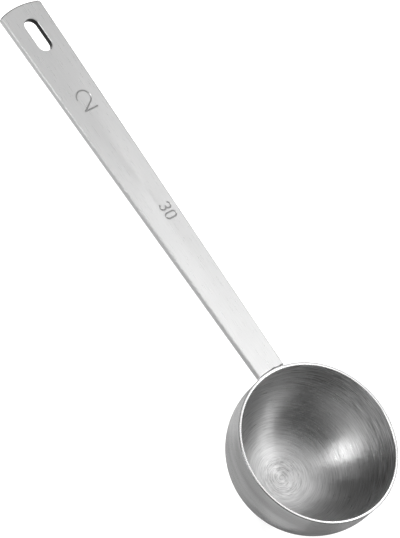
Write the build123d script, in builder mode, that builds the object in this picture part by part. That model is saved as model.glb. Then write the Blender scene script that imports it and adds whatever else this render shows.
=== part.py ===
from build123d import *
from math import acos, asin, atan2, cos, degrees, hypot, radians, sin, sqrt
import os

# A welded steel measuring scoop, in millimetres.
# The origin is the middle of the bowl's mouth, in the plane of the lip.
# +Z points up out of the bowl, and the handle runs out towards -X.

# Bowl
mouth_diameter = 46.0
wall = 0.8
straight_depth = 6.1
bowl_depth = 26.0
lip_round = 0.15

# Handle strip
handle_length = 121.6
handle_thickness = 2.0
handle_rise = 0.8
root_width = 8.7
end_width = 13.7
end_crown = 1.1
corner_round = 0.9
edge_round = 0.35

# Hanging slot
slot_length = 10.6
slot_width = 4.4
slot_inset = 9.9
slot_edge_round = 0.15

# Stamped numerals: a large one across the strip and a small pair along it
stamp_depth = 0.15
stamp_angle = 40
stroke_width = 0.5
large_height = 5.9
large_width = 4.2
large_from_end = 32.3
large_aside = 0.45
small_height = 3.4
small_gap = 1.1
small_from_end = 70.1
small_aside = 2.0

# Weld under the strip
weld_leg = 0.9

mouth_radius = mouth_diameter / 2
inner_radius = mouth_radius - wall
end_x = -mouth_radius - handle_length
underside = handle_rise - handle_thickness


def quarter_ellipse(bottom, side):
    """A quarter of an ellipse, from the axis at the bottom out and up to the wall."""
    corner_weight = cos(radians(45))
    Bezier(bottom, (side[0], bottom[1]), side, weights=[1, corner_weight, 1])


def straight_stroke(start, end):
    """One straight stamped stroke with round ends."""
    run = (end[0] - start[0], end[1] - start[1])
    middle = ((start[0] + end[0]) / 2, (start[1] + end[1]) / 2)
    with Locations(middle):
        SlotCenterToCenter(hypot(*run), stroke_width, rotation=degrees(atan2(run[1], run[0])))


def round_stroke(centre, radius, start_angle, arc_size):
    """One stamped stroke along an arc, with round ends."""
    SlotArc(CenterArc(centre, radius, start_angle, arc_size, mode=Mode.PRIVATE), stroke_width)


# The bowl: a straight wall below the lip, then a bottom of elliptical section, one thickness all round.
with BuildPart() as bowl:
    with BuildSketch(Plane.XZ) as bowl_section:
        with BuildLine():
            Line((inner_radius, 0), (inner_radius, -straight_depth))
            quarter_ellipse((0, -bowl_depth), (inner_radius, -straight_depth))
            Line((0, -bowl_depth), (0, -bowl_depth - wall))
            quarter_ellipse((0, -bowl_depth - wall), (mouth_radius, -straight_depth))
            Line((mouth_radius, -straight_depth), (mouth_radius, 0))
            Line((mouth_radius, 0), (inner_radius, 0))
        make_face()
        fillet(bowl_section.vertices().group_by(Axis.Y)[-1], radius=lip_round)
    revolve(axis=Axis.Z)

# A large 2, drawn upright about its own middle: a round head, a slanting stroke and a foot.
with BuildSketch() as large_two:
    head = large_width / 2
    rise = (large_height / 2) - head
    foot = (-head, -large_height / 2)
    reach = hypot(foot[0], foot[1] - rise)
    leave = atan2(foot[1] - rise, foot[0]) + acos(head / reach)
    round_stroke((0, rise), head, 180, degrees(leave) - 180)
    straight_stroke((head * cos(leave), rise + head * sin(leave)), foot)
    straight_stroke(foot, (head, foot[1]))

# A small 30, drawn upright about its own middle.
with BuildSketch() as small_thirty:
    bow = small_height / 4
    three_x = -small_gap / 2 - bow
    zero_x = small_gap / 2 + bow
    round_stroke((three_x, bow), bow, 150, -240)
    round_stroke((three_x, -bow), bow, 90, -240)
    with Locations((zero_x, 0)):
        SlotOverall(small_height + stroke_width, 2 * bow + stroke_width, rotation=90)
        SlotOverall(small_height - stroke_width, 2 * bow - stroke_width, rotation=90, mode=Mode.SUBTRACT)

# The handle: a tapered strip with a crowned free end, laid out to the bowl's axis and trimmed to its wall.
with BuildPart() as handle:
    root = (-sqrt(mouth_radius**2 - (root_width / 2) ** 2), root_width / 2)
    tip = (end_x + end_crown, end_width / 2)
    taper = (tip[1] - root[1]) / (root[0] - tip[0])
    with BuildSketch(Plane.XY.offset(underside)) as strip:
        with BuildLine():
            inner_end = (0, root[1] + taper * root[0])
            Line(inner_end, tip)
            ThreePointArc(tip, (end_x, 0), (tip[0], -tip[1]))
            Line((tip[0], -tip[1]), (0, -inner_end[1]))
            Line((0, -inner_end[1]), inner_end)
        make_face()
        fillet(strip.vertices().group_by(Axis.X)[0], radius=corner_round)
        with Locations((end_x + slot_inset, 0)):
            SlotOverall(slot_length, slot_width, mode=Mode.SUBTRACT)
    extrude(amount=handle_thickness)
    flats = handle.faces().filter_by(Axis.Z)
    rims = [e for f in flats for e in f.outer_wire().edges().sort_by(Axis.X)[:-1]]
    fillet(rims, radius=edge_round)
    slot_rims = [e for f in handle.faces().filter_by(Axis.Z) for w in f.inner_wires() for e in w.edges()]
    fillet(slot_rims, radius=slot_edge_round)

    # The trim follows the bowl's wall and rounds the top of the root where it leaves the strip.
    with BuildSketch(Plane.XZ):
        with BuildLine():
            shoulder = handle_rise - edge_round
            Polyline(
                (mouth_radius, shoulder),
                (mouth_radius, underside),
                (0, underside),
                (0, handle_rise),
                (mouth_radius + edge_round, handle_rise),
            )
            CenterArc((mouth_radius + edge_round, shoulder), edge_round, 90, 90)
        make_face()
    revolve(axis=Axis.Z, mode=Mode.SUBTRACT)

    # The 2 stands across the strip, its top towards the free end.
    with BuildSketch(Plane((end_x + large_from_end, large_aside, handle_rise), x_dir=(0, 1, 0), z_dir=(0, 0, 1))):
        add(large_two.sketch)
    extrude(amount=-stamp_depth, taper=stamp_angle, mode=Mode.SUBTRACT)

    # The 30 reads along the strip, from the free end towards the bowl.
    with BuildSketch(Plane((end_x + small_from_end, small_aside, handle_rise))):
        add(small_thirty.sketch)
    extrude(amount=-stamp_depth, taper=stamp_angle, mode=Mode.SUBTRACT)

# The weld: a bead in the corner between the strip's underside and the bowl's wall.
with BuildPart() as weld_bead:
    half_run = asin((root_width / 2 - edge_round) / mouth_radius)
    start = Plane((0, 0, 0), x_dir=(-cos(half_run), sin(half_run), 0), z_dir=(sin(half_run), cos(half_run), 0))
    with BuildSketch(start):
        with BuildLine():
            Line((mouth_radius, underside), (mouth_radius + weld_leg, underside))
            CenterArc((mouth_radius, underside), weld_leg, 0, -90)
            Line((mouth_radius, underside - weld_leg), (mouth_radius, underside))
        make_face()
    revolve(axis=Axis.Z, revolution_arc=2 * degrees(half_run))

bowl.part.label = "bowl"
handle.part.label = "handle"
weld_bead.part.label = "weld_bead"

os.makedirs("parts", exist_ok=True)
export_step(bowl.part, "parts/bowl.step")
export_step(handle.part, "parts/handle.step")
export_step(weld_bead.part, "parts/weld_bead.step")
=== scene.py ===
import bmesh
import bpy
from math import asin, cos, pi, radians, sin
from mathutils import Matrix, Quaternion, Vector


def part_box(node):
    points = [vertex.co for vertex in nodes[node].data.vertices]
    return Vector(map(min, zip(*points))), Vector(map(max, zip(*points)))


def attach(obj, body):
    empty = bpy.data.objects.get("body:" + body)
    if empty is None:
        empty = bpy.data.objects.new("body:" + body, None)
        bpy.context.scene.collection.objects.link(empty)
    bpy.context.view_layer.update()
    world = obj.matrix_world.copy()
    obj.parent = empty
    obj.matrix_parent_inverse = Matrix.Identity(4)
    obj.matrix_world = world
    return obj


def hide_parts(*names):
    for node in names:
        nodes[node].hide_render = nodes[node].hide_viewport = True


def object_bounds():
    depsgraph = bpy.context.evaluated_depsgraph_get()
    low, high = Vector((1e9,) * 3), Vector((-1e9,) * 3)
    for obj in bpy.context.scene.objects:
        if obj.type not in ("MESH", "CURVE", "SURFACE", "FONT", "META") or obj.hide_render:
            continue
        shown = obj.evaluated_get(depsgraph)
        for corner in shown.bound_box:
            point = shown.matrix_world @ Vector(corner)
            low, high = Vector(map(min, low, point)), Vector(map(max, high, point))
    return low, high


# A steel measuring scoop on a pale floor: looks, light and camera.
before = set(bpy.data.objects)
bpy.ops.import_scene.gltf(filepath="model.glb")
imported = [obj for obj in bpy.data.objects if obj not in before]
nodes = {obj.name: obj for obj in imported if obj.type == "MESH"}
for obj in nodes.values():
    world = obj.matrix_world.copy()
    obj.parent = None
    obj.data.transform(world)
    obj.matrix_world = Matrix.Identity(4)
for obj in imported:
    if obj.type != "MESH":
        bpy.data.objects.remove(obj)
cad_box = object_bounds()

# Sizes of the scoop that its materials follow, in metres, as in the part's source.
# Its box ends at the mouth's radius along +X and at the strip's top along +Z.
mouth_radius = cad_box[1][0]
wall_thickness = 0.0008
inner_radius = mouth_radius - wall_thickness
straight_depth = 0.0061
inner_drop = 0.0199
outer_drop = inner_drop + wall_thickness
lip_round = 0.00015
strip_thickness = 0.0020
strip_length = 0.1216
strip_top = cad_box[1][2]
strip_bottom = strip_top - strip_thickness
strip_root = -mouth_radius
strip_end = strip_root - strip_length
end_half_width = 0.00685
root_half_width = 0.00435
crown_radius = 0.0219
edge_round = 0.00035
stamp_depth = 0.00015
slot_middle = -0.1347
slot_half_run = 0.0031
slot_radius = 0.0022

# Where the finish changes and how deep its relief is, in metres
tenth = 0.0001
lip_edge_width = 0.0005
wall_range = (-0.014, -0.007)
eye_range = (0.009, 0.004)
centre_range = (0.015, 0.003)
ring_depth = 0.00013
grain_depth = 0.0000008
weld_skin_depth = 0.00003

# Greys and roughness of the bowl
# The middle's lighter, partly matte grey is a painted highlight for the glow at the bowl's bottom
inside_grey, centre_highlight_grey = 0.64, 0.86
ring_shine = 0.26
outside_greys = (0.58, 0.79)
# The lip edge's dark grey is painted shade on its outer rounding
lip_grey, lip_edge_shade_grey = 0.80, 0.36
inside_roughness, centre_roughness = (0.27, 0.33), 0.44
outside_roughness, lip_roughness = 0.16, 0.22
centre_dullness = 0.15

# Greys and roughness of the handle
satin_greys = (0.66, 0.675)
grain_contrast = (0.965, 1.035)
# The root's grey is a painted highlight on its rounded end, and the end's grey painted shade along the
# crowned end's edge
edge_grey, root_highlight_grey, end_shade_grey = 0.70, 1.0, 0.20
# Painted shade, near black, on the slot's wall
slot_shade_grey = 0.02
# The numerals' foot grey is painted shade deep in the stamps
stamp_side_grey, stamp_foot_shade_grey = 0.72, 0.42
satin_roughness, edge_roughness, stamp_roughness = (0.27, 0.32), 0.5, 0.5

# Grey and roughness of the weld
weld_greys, weld_roughness = (0.50, 0.60), 0.35

# The weld's bead: its sizes in metres, and how far it reaches as shares of its leg
weld_leg = 0.0009
weld_pitch = 0.0006
weld_sunk = 0.0001
end_reach, body_reach, ripple_reach = 0.25, 0.65, 0.05
ripple_bend = 1.6
sections_per_ripple = 8
section_steps = 10

# The floor and the veil over it, in metres, and their brightness
sheet_half = 3.0
floor_drop, veil_drop = 0.0002, 0.0001
floor_grey, veil_light = 0.2, 0.90
white = (1.0, 1.0, 1.0, 1.0)


class Shader:
    """Adds nodes to one material and joins them as they are made."""

    def __init__(self, name):
        self.material = bpy.data.materials.new(name)
        self.material.use_nodes = True
        self.tree = self.material.node_tree
        self.tree.nodes.clear()

    def fill(self, socket, value):
        """Joins an input to another node's output, or sets it. None leaves it as it is."""
        if isinstance(value, bpy.types.NodeSocket):
            self.tree.links.new(value, socket)
        elif value is not None:
            socket.default_value = value

    def add(self, kind, *values, out=0, **settings):
        """One node. Its inputs are filled in order, from a number, a vector or another node's output."""
        node = self.tree.nodes.new("ShaderNode" + kind)
        for name, value in settings.items():
            setattr(node, name, value)
        for socket, value in zip(node.inputs, values):
            self.fill(socket, value)
        return node.outputs[out]

    def add_named(self, kind, inputs):
        """One node. Its inputs are filled by their names."""
        node = self.tree.nodes.new("ShaderNode" + kind)
        for name, value in inputs.items():
            self.fill(node.inputs[name], value)
        return node.outputs[0]

    def math(self, operation, *values):
        return self.add("Math", *values, operation=operation)

    def times(self, first, second):
        return self.math("MULTIPLY", first, second)

    def less(self, first, second):
        return self.math("SUBTRACT", first, second)

    def invert(self, share):
        return self.less(1.0, share)

    def length(self, vector):
        return self.add("VectorMath", vector, operation="LENGTH", out="Value")

    def scaled(self, vector, *factors):
        return self.add("VectorMath", vector, factors, operation="MULTIPLY")

    def ramp(self, value, low, high, to_low, to_high):
        """Runs evenly from to_low to to_high while value goes from low to high."""
        return self.add("MapRange", value, low, high, to_low, to_high)

    def spread(self, noise, to_low, to_high, reach=0.2):
        """Runs evenly from to_low to to_high while a noise goes through its middle range."""
        return self.ramp(noise, 0.5 - reach, 0.5 + reach, to_low, to_high)

    def step(self, value, low, high):
        """Runs smoothly from 0 to 1 while value goes from low to high."""
        return self.add("MapRange", value, low, high, 0.0, 1.0, interpolation_type="SMOOTHSTEP")

    def blend(self, share, first, second):
        return self.add("Mix", share, None, first, second, data_type="FLOAT")

    def noise(self, vector, scale=1.0, detail=2.0, roughness=0.5):
        inputs = {"Vector": vector, "Scale": scale, "Detail": detail, "Roughness": roughness}
        return self.add_named("TexNoise", inputs)

    def bump(self, height, distance, strength=1.0):
        return self.add_named("Bump", {"Distance": distance, "Strength": strength, "Height": height})

    def finish_with(self, surface):
        """Ends the material in one surface."""
        end = self.tree.nodes.new("ShaderNodeOutputMaterial")
        self.tree.links.new(surface, end.inputs[0])
        return self.material

    def metal(self, grey, roughness, normal, anisotropic=0.0, rotation=0.0, metallic=1.0):
        """Ends the material in brushed metal of one grey. The brushing turns about the upright axis."""
        surface = self.add_named("BsdfPrincipled", {
            "Base Color": self.add("CombineColor", grey, grey, grey),
            "Roughness": roughness,
            "Normal": normal,
            "Metallic": metallic,
            "Anisotropic": anisotropic,
            "Anisotropic Rotation": rotation,
            "Tangent": self.add("Tangent", direction_type="RADIAL", axis="Z"),
        })
        return self.finish_with(surface)


def spun_bowl():
    """Rings of polished steel round the axis, coarse inside and fine outside, with a bright cut lip, a
    painted highlight in the middle and painted shade on the lip's outer edge.
    """
    s = Shader("bowl_spun_steel")
    place = s.add("TexCoord", out="Object")
    x, y, z = s.add("SeparateXYZ", place).node.outputs
    flat = s.add("CombineXYZ", x, y, 0.0)
    radius = s.length(flat)
    along = s.math("ADD", radius, z)

    # Which side of the sheet's middle a point is on, from the ellipse halfway through the wall
    below = s.math("MINIMUM", s.math("ADD", z, straight_depth), 0.0)
    wide = s.math("POWER", s.math("DIVIDE", radius, (mouth_radius + inner_radius) / 2), 2.0)
    deep = s.math("POWER", s.math("DIVIDE", below, (outer_drop + inner_drop) / 2), 2.0)
    outside = s.math("GREATER_THAN", s.math("ADD", wide, deep), 1.0)
    centre = s.times(s.step(radius, *centre_range), s.invert(outside))

    # A painted shade darkens the lip's outer edge, except where the handle's root meets it
    lip = s.step(z, -2 * lip_round, -lip_round)
    near_root = s.math("LESS_THAN", s.math("ABSOLUTE", y), root_half_width)
    at_root = s.times(near_root, s.math("LESS_THAN", x, 0.0))
    lip_edge = s.step(radius, mouth_radius - lip_edge_width, mouth_radius - lip_round)
    lip_edge = s.times(lip_edge, s.invert(at_root))

    def rings(across, around, detail=3.0):
        """Noise drawn out into arcs round the axis, from its scale across the arcs and around the axis."""
        turned = s.scaled(flat, around, around, 0.0)
        lifted = s.add("CombineXYZ", 0.0, 0.0, s.times(along, across))
        return s.noise(s.add("VectorMath", turned, lifted, operation="ADD"), detail=detail, roughness=0.6)

    # The rings are deepest on the upright wall and round the very middle, where they break into short arcs
    wall = s.step(z, *wall_range)
    eye = s.step(radius, *eye_range)
    fine = s.blend(eye, rings(3000.0, 180.0), rings(3000.0, 420.0))
    bands = rings(620.0, 50.0, detail=2.0)
    arcs = s.step(s.blend(eye, rings(4200.0, 300.0), rings(3600.0, 600.0)), 0.57, 0.70)
    bite = s.ramp(s.math("MAXIMUM", wall, eye), 0.0, 1.0, 0.35, 1.0)
    height = s.math("ADD", s.times(fine, 0.6), s.times(bands, s.blend(eye, 0.4, 0.15)))
    height = s.less(height, s.times(arcs, 0.4))
    normal = s.bump(height, ring_depth, s.times(s.invert(lip), s.blend(outside, bite, 0.3)))

    roughness = s.blend(centre, s.spread(fine, *inside_roughness), centre_roughness)
    roughness = s.blend(outside, roughness, outside_roughness)
    roughness = s.blend(lip, roughness, lip_roughness)

    shine = s.times(bite, s.spread(fine, -ring_shine, ring_shine, reach=0.15))
    # The middle's lighter grey is a painted highlight
    grey = s.math("ADD", s.blend(centre, inside_grey, centre_highlight_grey), shine)
    grey = s.times(grey, s.ramp(arcs, 0.0, 1.0, 1.0, s.blend(eye, 0.8, 1.2)))
    smudge = s.noise(s.scaled(place, 35.0, 35.0, 260.0))
    grey = s.blend(outside, grey, s.spread(smudge, *outside_greys, reach=0.15))
    # Painted shade on the lip's outer edge
    grey = s.blend(lip, grey, s.blend(lip_edge, lip_grey, lip_edge_shade_grey))
    metallic = s.invert(s.times(centre, centre_dullness))
    return s.metal(grey, roughness, normal, anisotropic=0.93, rotation=0.25, metallic=metallic)


def satin_handle():
    """Fine satin, polished edges, a painted highlight on the root, and painted shade at the end, slot and
    numerals.
    """
    s = Shader("handle_satin_steel")
    place = s.add("TexCoord", out="Object")
    x, y, z = s.add("SeparateXYZ", place).node.outputs
    flat = s.add("CombineXYZ", x, y, 0.0)
    depth = s.less(strip_top, z)

    # Distance in from the strip's long edges and from its crowned end
    half_width = s.ramp(x, strip_end, strip_root, end_half_width, root_half_width)
    margin = s.less(half_width, s.math("ABSOLUTE", y))
    from_crown = s.add("VectorMath", flat, (strip_end + crown_radius, 0.0, 0.0), operation="SUBTRACT")
    end_margin = s.less(crown_radius, s.length(from_crown))

    # Distance out from the slot's wall
    past_run = s.less(s.math("ABSOLUTE", s.less(x, slot_middle)), slot_half_run)
    to_slot = s.add("CombineXYZ", s.math("MAXIMUM", past_run, 0.0), y, 0.0)
    slot_gap = s.less(s.length(to_slot), slot_radius)

    # Where the long edges, the root, the end's edge, the slot's wall and the numerals are, from 0 to 1.
    # The root carries a painted highlight; the end's edge, the slot's wall and the numerals' foot carry
    # painted shade.
    edge = s.step(margin, edge_round, 0.0)
    root = s.step(s.length(flat), mouth_radius + edge_round, mouth_radius + 0.5 * edge_round)
    # Painted shade along the crowned end's edge
    end_edge_shade = s.times(s.step(end_margin, 5 * tenth, tenth), s.math("LESS_THAN", x, slot_middle))
    # Painted shade on the slot's wall
    slot_wall_shade = s.times(s.step(slot_gap, tenth, 0.2 * tenth), s.step(depth, tenth, 3 * tenth))
    inland = s.times(s.step(margin, edge_round, 2 * edge_round), s.step(slot_gap, 2 * tenth, 4 * tenth))
    stamped = s.times(inland, s.math("LESS_THAN", depth, 2 * stamp_depth))
    sides = s.times(stamped, s.step(depth, 0.02 * stamp_depth, 0.3 * stamp_depth))
    # Painted shade at the foot of the stamps
    stamp_foot_shade = s.times(stamped, s.step(depth, 0.5 * stamp_depth, 0.9 * stamp_depth))

    grain = s.noise(s.scaled(place, 150.0, 5000.0, 5000.0), roughness=0.6)
    cloud = s.noise(place, scale=120.0)
    scratch = s.step(s.noise(s.scaled(place, 60.0, 2600.0, 2600.0), detail=1.0), 0.66, 0.74)

    roughness = s.blend(edge, s.spread(grain, *satin_roughness), edge_roughness)
    roughness = s.blend(sides, roughness, stamp_roughness)

    grey = s.times(s.spread(cloud, *satin_greys), s.spread(grain, *grain_contrast))
    grey = s.times(grey, s.ramp(scratch, 0.0, 1.0, 1.0, 0.99))
    # Painted highlight on the root; painted shade on the end's edge, the slot's wall and the numerals'
    # foot
    for share, own_grey in (
        (edge, edge_grey),
        (root, root_highlight_grey),
        (end_edge_shade, end_shade_grey),
        (slot_wall_shade, slot_shade_grey),
        (sides, stamp_side_grey),
        (stamp_foot_shade, stamp_foot_shade_grey),
    ):
        grey = s.blend(share, grey, own_grey)
    return s.metal(grey, roughness, s.bump(grain, grain_depth), anisotropic=0.3)


def dressed_weld():
    """Dull weld metal with a fine pebbled skin."""
    s = Shader("weld_dressed_steel")
    speck = s.noise(s.add("TexCoord", out="Object"), scale=2500.0, detail=3.0, roughness=0.6)
    return s.metal(s.spread(speck, *weld_greys), weld_roughness, s.bump(speck, weld_skin_depth))


def put(name, data):
    """A new object in the scene."""
    thing = bpy.data.objects.new(name, data)
    bpy.context.scene.collection.objects.link(thing)
    return thing


def weld_seam():
    """A bead with ripples across it and round ends, in the corner under the strip."""
    half_run = asin((root_half_width - edge_round) / mouth_radius)
    ripples = round(2 * half_run * mouth_radius / weld_pitch)
    turns = sections_per_ripple * ripples
    mesh = bmesh.new()
    sections = []
    for i in range(turns + 1):
        share = 2 * i / turns - 1
        end = (1 - abs(share) ** 6) ** 0.5
        section = []
        for j in range(section_steps + 1):
            lean = pi / 2 * j / section_steps
            wave = sin(pi * ripples * share - ripple_bend * sin(2 * lean))
            reach = weld_leg * (end_reach + body_reach * end + ripple_reach * end * wave)
            section.append((mouth_radius + reach * cos(lean), strip_bottom - reach * sin(lean)))
        section.append((mouth_radius - weld_sunk, section[-1][1]))
        section.append((mouth_radius - weld_sunk, strip_bottom + weld_sunk))
        section.append((section[0][0], strip_bottom + weld_sunk))
        angle = half_run * share
        sections.append([mesh.verts.new((-r * cos(angle), r * sin(angle), z)) for r, z in section])
    count = len(sections[0])
    for first, second in zip(sections, sections[1:]):
        for j in range(count):
            k = (j + 1) % count
            mesh.faces.new((first[j], first[k], second[k], second[j]))
    mesh.faces.new(sections[0][::-1])
    mesh.faces.new(sections[-1])
    bmesh.ops.recalc_face_normals(mesh, faces=mesh.faces)
    data = bpy.data.meshes.new("weld_seam")
    mesh.to_mesh(data)
    mesh.free()
    data.polygons.foreach_set("use_smooth", [True] * len(data.polygons))
    data.materials.append(dressed_weld())
    seam = put("weld_seam", data)
    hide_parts("weld_bead")
    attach(seam, "root")


nodes["bowl"].material_slots[0].material = spun_bowl()
nodes["handle"].material_slots[0].material = satin_handle()
weld_seam()


def ground(name, shading, drop):
    """A wide level sheet under the bowl, clear from below."""
    half = sheet_half
    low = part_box("bowl")[0].z - drop
    corners = [(-half, -half, low), (half, -half, low), (half, half, low), (-half, half, low)]
    mesh = bpy.data.meshes.new(name)
    mesh.from_pydata(corners, [], [(0, 1, 2, 3)])
    sheet = put(name, mesh)
    s = Shader(name + "_pale")
    from_below = s.add("NewGeometry", out="Backfacing")
    surface = s.add("MixShader", from_below, shading(s), s.add("BsdfTransparent"))
    mesh.materials.append(s.finish_with(surface))
    return sheet


def lit_floor(s):
    """Dull grey, which takes the light and the shadows."""
    return s.add("BsdfDiffuse", (floor_grey, floor_grey, floor_grey, 1.0))


def white_veil(s):
    """Adds light to what lies behind it."""
    return s.add("AddShader", s.add("Emission", white, veil_light), s.add("BsdfTransparent"))


# The floor takes the light and the shadows. The veil just over it whitens it for the camera alone.
floor = ground("floor", lit_floor, floor_drop)
veil = ground("veil", white_veil, veil_drop)
veil.visible_diffuse = False
veil.visible_glossy = False
veil.visible_shadow = False


def softbox(name, azimuth, elevation, width, height, radiance):
    """A soft light one metre off: azimuth from +X towards +Y, in degrees, and its size in metres."""
    lamp = bpy.data.lights.new(name, "AREA")
    lamp.shape = "RECTANGLE"
    lamp.size, lamp.size_y = width, height
    lamp.energy = pi * width * height * radiance
    holder = put(name, lamp)
    turn = Quaternion((0, 0, 1), radians(azimuth)) @ Quaternion((0, 1, 0), -radians(elevation))
    out = turn @ Vector((1, 0, 0))
    holder.location = out
    holder.rotation_mode = "QUATERNION"
    holder.rotation_quaternion = (-out).to_track_quat("-Z", "Y")
    return holder


for lamp_values in (
    ("key", 72, 58, 0.36, 0.30, 2.4),
    ("back", 90, 49, 0.60, 0.40, 1.75),
    ("top", 100, 77, 0.90, 0.42, 1.2),
    ("left", 145, 56, 0.50, 0.40, 0.88),
    ("strip", 246, 26, 0.50, 0.45, 2.8),
    ("strip_core", 240, 30, 0.36, 0.30, 2.8),
    ("strip_top", 246, 42, 0.30, 0.30, 1.1),
    ("strip_low", 250, 14, 0.50, 0.20, 0.8),
    ("strip_side", 262, 36, 0.30, 0.30, 0.4),
    ("soft", 215, 34, 0.36, 0.36, 0.7),
    ("overhead", 240, 80, 0.60, 0.60, 0.45),
    ("right", 40, 45, 0.40, 0.30, 0.5),
    ("right_low", 18, 28, 0.14, 0.40, 1.0),
):
    softbox(*lamp_values)

# These fall on the floor alone, so that the steel mirrors a lit floor and its own shadows there
floor_only = bpy.data.collections.new("floor_only")
floor_only.objects.link(floor)
for lamp_values in (
    ("floor_left", 192, 32, 0.2, 0.2, 195.0),
    ("floor_back", 72, 20, 0.2, 0.2, 140.0),
    ("floor_side", 144, 20, 0.2, 0.2, 110.0),
):
    softbox(*lamp_values).light_linking.receiver_collection = floor_only

# A dim room with pale walls: brighter near the horizon and below it than overhead
pale_up_to, dim_from = radians(15), radians(30)
wall_light, overhead_light = 0.33, 0.02
world = bpy.data.worlds.new("studio")
world.use_nodes = True
tree = world.node_tree
toward = tree.nodes.new("ShaderNodeTexCoord")
split = tree.nodes.new("ShaderNodeSeparateXYZ")
fade = tree.nodes.new("ShaderNodeMapRange")
fade.interpolation_type = "SMOOTHSTEP"
for socket, value in zip(fade.inputs[1:5], (sin(pale_up_to), sin(dim_from), wall_light, overhead_light)):
    socket.default_value = value
tree.links.new(toward.outputs["Generated"], split.inputs[0])
tree.links.new(split.outputs["Z"], fade.inputs["Value"])
tree.links.new(fade.outputs["Result"], tree.nodes["Background"].inputs["Strength"])
tree.nodes["Background"].inputs["Color"].default_value = white
bpy.context.scene.world = world
bpy.context.scene.view_settings.view_transform = "Standard"

# Camera: aimed at the middle of the scoop's length, from the near side and above, and rolled
target = Vector((-0.05636, 0.00018, 0.0))
roll = radians(40.828)
camera = put("camera", bpy.data.cameras.new("camera"))
camera.data.lens = 194.07
camera.data.sensor_width = 36.0
camera.location = (0.07162, -0.41362, 0.64393)
camera.rotation_mode = "QUATERNION"
look = (target - camera.location).to_track_quat("-Z", "Y")
camera.rotation_quaternion = look @ Quaternion((0, 0, 1), roll)
bpy.context.scene.camera = camera
